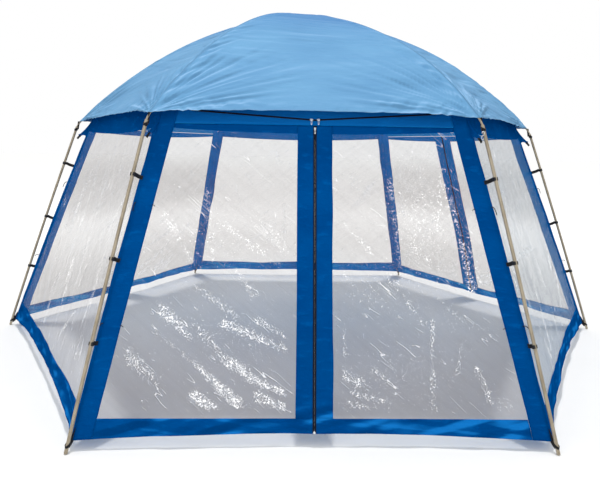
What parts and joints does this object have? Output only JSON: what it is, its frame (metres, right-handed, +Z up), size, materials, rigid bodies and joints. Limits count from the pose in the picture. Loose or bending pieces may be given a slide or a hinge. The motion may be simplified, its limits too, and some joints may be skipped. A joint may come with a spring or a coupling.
{
  "type": "screen house",
  "caption": "Hexagonal camping screen house with leaning steel legs, a domed fabric canopy, clear film walls edged in blue cloth and zipped double doors.",
  "frame": {"origin": "on the ground under the middle of the crown hub", "axes": "+Z up, -Y out through the front door, +X towards the right leg"},
  "size_m": [5.0204, 4.35, 2.562],
  "materials": {
    "canopy_cloth": "matte",
    "blue_cloth": "matte",
    "clear_film": "gloss",
    "painted_steel": "satin",
    "fibre_rod": "satin",
    "black_plastic": "satin",
    "zip_metal": "satin"
  },
  "bodies": {
    "house": {"canopy": "canopy_cloth", "crown_hub": "black_plastic", "right_leg": "painted_steel", "right_roof_rod": "fibre_rod", "right_corner_strip": "blue_cloth", "right_lower_clip": "black_plastic", "right_middle_clip": "black_plastic", "right_upper_clip": "black_plastic", "back_right_leg": "painted_steel", "back_right_roof_rod": "fibre_rod", "back_right_corner_strip": "blue_cloth", "back_right_lower_clip": "black_plastic", "back_right_middle_clip": "black_plastic", "back_right_upper_clip": "black_plastic", "back_left_leg": "painted_steel", "back_left_roof_rod": "fibre_rod", "back_left_corner_strip": "blue_cloth", "back_left_lower_clip": "black_plastic", "back_left_middle_clip": "black_plastic", "back_left_upper_clip": "black_plastic", "left_leg": "painted_steel", "left_roof_rod": "fibre_rod", "left_corner_strip": "blue_cloth", "left_lower_clip": "black_plastic", "left_middle_clip": "black_plastic", "left_upper_clip": "black_plastic", "front_left_leg": "painted_steel", "front_left_roof_rod": "fibre_rod", "front_left_corner_strip": "blue_cloth", "front_left_lower_clip": "black_plastic", "front_left_middle_clip": "black_plastic", "front_left_upper_clip": "black_plastic", "front_right_leg": "painted_steel", "front_right_roof_rod": "fibre_rod", "front_right_corner_strip": "blue_cloth", "front_right_lower_clip": "black_plastic", "front_right_middle_clip": "black_plastic", "front_right_upper_clip": "black_plastic", "front_door_header": "blue_cloth", "right_door_header": "blue_cloth", "left_door_header": "blue_cloth", "right_front_wall": "clear_film", "back_wall": "clear_film", "left_front_wall": "clear_film"},
    "front_door_left": {"front_door_left_half": "clear_film"},
    "front_door_right": {"front_door_right_half": "clear_film"},
    "front_door_zip": {"front_door_slider": "zip_metal"},
    "front_door_top_zip_left": {"front_door_top_left_slider": "zip_metal"},
    "front_door_top_zip_right": {"front_door_top_right_slider": "zip_metal"},
    "right_door_left": {"right_door_left_half": "clear_film"},
    "right_door_right": {"right_door_right_half": "clear_film"},
    "right_door_zip": {"right_door_slider": "zip_metal"},
    "right_door_top_zip_left": {"right_door_top_left_slider": "zip_metal"},
    "right_door_top_zip_right": {"right_door_top_right_slider": "zip_metal"},
    "left_door_left": {"left_door_left_half": "clear_film"},
    "left_door_right": {"left_door_right_half": "clear_film"},
    "left_door_zip": {"left_door_slider": "zip_metal"},
    "left_door_top_zip_left": {"left_door_top_left_slider": "zip_metal"},
    "left_door_top_zip_right": {"left_door_top_right_slider": "zip_metal"}
  },
  "joints": [
    {"name": "front_door_left_swing", "type": "hinge", "parent": "house", "child": "front_door_left", "pos_m": [-1.13278, -2.12572, 0.055], "axis": [-0.196, -0.3394, -0.92], "range_deg": [0, 100]},
    {"name": "front_door_right_swing", "type": "hinge", "parent": "house", "child": "front_door_right", "pos_m": [1.13278, -2.12572, 0.055], "axis": [-0.196, 0.3394, 0.92], "range_deg": [0, 100]},
    {"name": "front_door_zip_slide", "type": "slide", "parent": "front_door_left", "child": "front_door_zip", "axis": [0, -0.3461, -0.9382], "range_m": [0, 1.66]},
    {"name": "front_door_top_zip_left_slide", "type": "slide", "parent": "house", "child": "front_door_top_zip_left", "axis": [-0.9976, 0.0239, 0.0648], "range_m": [0, 0.68]},
    {"name": "front_door_top_zip_right_slide", "type": "slide", "parent": "house", "child": "front_door_top_zip_right", "axis": [0.9976, 0.0239, 0.0648], "range_m": [0, 0.68]},
    {"name": "right_door_left_swing", "type": "hinge", "parent": "house", "child": "right_door_left", "pos_m": [2.40732, 0.08184, 0.055], "axis": [0.3919, 0, -0.92], "range_deg": [0, 100]},
    {"name": "right_door_right_swing", "type": "hinge", "parent": "house", "child": "right_door_right", "pos_m": [1.27453, 2.04388, 0.055], "axis": [-0.196, -0.3394, 0.92], "range_deg": [0, 100]},
    {"name": "right_door_zip_slide", "type": "slide", "parent": "right_door_left", "child": "right_door_zip", "axis": [0.2998, 0.1731, -0.9382], "range_m": [0, 1.66]},
    {"name": "right_door_top_zip_left_slide", "type": "slide", "parent": "house", "child": "right_door_top_zip_left", "axis": [0.4781, -0.8759, 0.0648], "range_m": [0, 0.68]},
    {"name": "right_door_top_zip_right_slide", "type": "slide", "parent": "house", "child": "right_door_top_zip_right", "axis": [-0.5195, 0.852, 0.0648], "range_m": [0, 0.68]},
    {"name": "left_door_left_swing", "type": "hinge", "parent": "house", "child": "left_door_left", "pos_m": [-1.27453, 2.04388, 0.055], "axis": [-0.196, 0.3394, -0.92], "range_deg": [0, 100]},
    {"name": "left_door_right_swing", "type": "hinge", "parent": "house", "child": "left_door_right", "pos_m": [-2.40732, 0.08184, 0.055], "axis": [0.3919, 0, 0.92], "range_deg": [0, 100]},
    {"name": "left_door_zip_slide", "type": "slide", "parent": "left_door_left", "child": "left_door_zip", "axis": [-0.2998, 0.1731, -0.9382], "range_m": [0, 1.66]},
    {"name": "left_door_top_zip_left_slide", "type": "slide", "parent": "house", "child": "left_door_top_zip_left", "axis": [0.5195, 0.852, 0.0648], "range_m": [0, 0.68]},
    {"name": "left_door_top_zip_right_slide", "type": "slide", "parent": "house", "child": "left_door_top_zip_right", "axis": [-0.4781, -0.8759, 0.0648], "range_m": [0, 0.68]}
  ]
}
